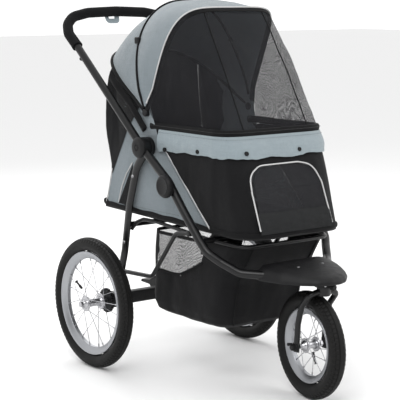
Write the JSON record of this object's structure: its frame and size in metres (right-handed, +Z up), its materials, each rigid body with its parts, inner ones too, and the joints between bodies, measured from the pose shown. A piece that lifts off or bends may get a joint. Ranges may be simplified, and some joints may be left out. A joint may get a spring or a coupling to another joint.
{
  "type": "pet stroller",
  "caption": "Folding three-wheel pet stroller: fabric cabin with mesh canopy on bows, U handle with foam grip, spoked pneumatic wheels, swivel front caster, foot brake, basket.",
  "frame": {"origin": "middle of the object's footprint, on the floor", "axes": "+Z up, -Y to the front, +X to the stroller's left"},
  "size_m": [0.674, 1.1156, 1.1116],
  "materials": {
    "painted_tube": "satin black powder coat",
    "black_plastic": "fine-grained black nylon",
    "steel": "zinc-plated",
    "foam_grip": "closed-cell foam",
    "tyre": "black rubber with a fine tread",
    "rim": "polished",
    "hub": "bright",
    "grey_fabric": "coated polyester, plain weave",
    "black_fabric": "coated polyester, plain weave",
    "black_mesh": "knitted mesh"
  },
  "bodies": {
    "frame": {"front_cover": "black_plastic", "fork_head": "black_plastic", "front_cross_tube": "painted_tube", "cabin_floor": "black_plastic", "floor_cushion": "black_fabric", "cabin_front": "black_fabric", "cabin_rear": "black_fabric", "cabin_rim": "black_fabric", "front_band": "grey_fabric", "basket": "black_mesh", "canopy_bow_rear": "painted_tube", "canopy_rear_panel": "grey_fabric", "canopy_mesh": "black_mesh", "front_tube_right": "painted_tube", "front_tube_left": "painted_tube", "hinge_pin_right": "steel", "hinge_pin_left": "steel", "hinge_cap_right": "black_plastic", "hinge_cap_left": "black_plastic", "cabin_side_right": "grey_fabric", "cabin_side_left": "grey_fabric", "canopy_pivot_right": "black_plastic", "canopy_pivot_left": "black_plastic"},
    "rear_frame": {"axle_beam": "black_plastic", "rear_cross_tube": "painted_tube", "rear_leg_right": "painted_tube", "rear_leg_left": "painted_tube", "axle_housing_right": "black_plastic", "axle_housing_left": "black_plastic"},
    "brace_right": {"brace_right": "painted_tube"},
    "brace_left": {"brace_left": "painted_tube"},
    "rear_wheel_right": {"rear_tyre_right": "tyre", "rear_rim_right": "rim", "rear_hub_right": "hub", "brake_ring_right": "black_plastic"},
    "rear_wheel_left": {"rear_tyre_left": "tyre", "rear_rim_left": "rim", "rear_hub_left": "hub", "brake_ring_left": "black_plastic"},
    "brake": {"brake_pedal": "black_plastic", "brake_rod": "steel"},
    "caster": {"fork": "painted_tube"},
    "front_wheel": {"front_tyre": "tyre", "front_rim": "rim", "front_hub": "hub"},
    "swivel_lock": {"swivel_lock": "black_plastic"},
    "handle": {"handle_bar": "painted_tube", "handle_grip": "foam_grip"},
    "fold_button_right": {"fold_button_right": "black_plastic"},
    "fold_button_left": {"fold_button_left": "black_plastic"},
    "fold_knob_right": {"fold_knob_right": "black_plastic"},
    "fold_knob_left": {"fold_knob_left": "black_plastic"},
    "canopy_middle": {"canopy_bow_middle": "painted_tube", "canopy_top_panel": "grey_fabric"},
    "canopy_front": {"canopy_bow_front": "painted_tube"}
  },
  "joints": [
    {"name": "rear_fold", "type": "hinge", "parent": "frame", "child": "rear_frame", "pos_m": [0, 0.0773, 0.686], "axis": [-1, 0, 0], "range_deg": [0, 45], "deforming": ["basket"]},
    {"name": "handle_fold", "type": "hinge", "parent": "frame", "child": "handle", "pos_m": [0, 0.0773, 0.686], "axis": [1, 0, 0], "range_deg": [0, 130]},
    {"name": "front_swivel", "type": "hinge", "parent": "frame", "child": "caster", "pos_m": [0, -0.4667, 0.32], "axis": [0, 0, 1], "continuous": true},
    {"name": "front_wheel_spin", "type": "hinge", "parent": "caster", "child": "front_wheel", "pos_m": [0.00863, -0.4053, 0.154], "axis": [0.9903, -0.1392, 0], "continuous": true},
    {"name": "swivel_lock_pull", "type": "slide", "parent": "frame", "child": "swivel_lock", "axis": [0, -1, 0], "range_m": [0, 0.006], "stiffness_N_per_m": 150},
    {"name": "brake_press", "type": "hinge", "parent": "rear_frame", "child": "brake", "pos_m": [0, 0.2753, 0.236], "axis": [-1, 0, 0], "range_deg": [0, 10]},
    {"name": "canopy_middle_fold", "type": "hinge", "parent": "frame", "child": "canopy_middle", "pos_m": [0, 0.0953, 0.785], "axis": [-1, 0, 0], "range_deg": [0, 20], "deforming": ["canopy_rear_panel"]},
    {"name": "canopy_front_fold", "type": "hinge", "parent": "canopy_middle", "child": "canopy_front", "pos_m": [0, 0.0953, 0.785], "axis": [-1, 0, 0], "range_deg": [0, 30], "deforming": ["canopy_top_panel", "canopy_mesh"]},
    {"name": "rear_wheel_right_spin", "type": "hinge", "parent": "rear_frame", "child": "rear_wheel_right", "pos_m": [-0.294, 0.2453, 0.2], "axis": [1, 0, 0], "continuous": true},
    {"name": "brace_right_fold", "type": "hinge", "parent": "rear_frame", "child": "brace_right", "pos_m": [-0.2193, 0.1953, 0.297], "axis": [1, 0, 0], "range_deg": [0, 90]},
    {"name": "fold_button_right_press", "type": "slide", "parent": "handle", "child": "fold_button_right", "axis": [0, -0.6363, 0.7715], "range_m": [0, 0.004], "stiffness_N_per_m": 200},
    {"name": "fold_knob_right_turn", "type": "hinge", "parent": "frame", "child": "fold_knob_right", "pos_m": [-0.2383, -0.0627, 0.588], "axis": [1, 0, 0], "range_deg": [0, 90]},
    {"name": "rear_wheel_left_spin", "type": "hinge", "parent": "rear_frame", "child": "rear_wheel_left", "pos_m": [0.294, 0.2453, 0.2], "axis": [1, 0, 0], "continuous": true},
    {"name": "brace_left_fold", "type": "hinge", "parent": "rear_frame", "child": "brace_left", "pos_m": [0.2193, 0.1953, 0.297], "axis": [1, 0, 0], "range_deg": [0, 90]},
    {"name": "fold_button_left_press", "type": "slide", "parent": "handle", "child": "fold_button_left", "axis": [0, -0.6363, 0.7715], "range_m": [0, 0.004], "stiffness_N_per_m": 200},
    {"name": "fold_knob_left_turn", "type": "hinge", "parent": "frame", "child": "fold_knob_left", "pos_m": [0.2383, -0.0627, 0.588], "axis": [1, 0, 0], "range_deg": [0, 90]}
  ],
  "couplings": [
    {"joint": "brace_right_fold", "follows": "rear_fold", "ratio": 2},
    {"joint": "brace_left_fold", "follows": "rear_fold", "ratio": 2},
    {"joint": "canopy_middle_fold", "follows": "canopy_front_fold", "ratio": 0.66667}
  ]
}
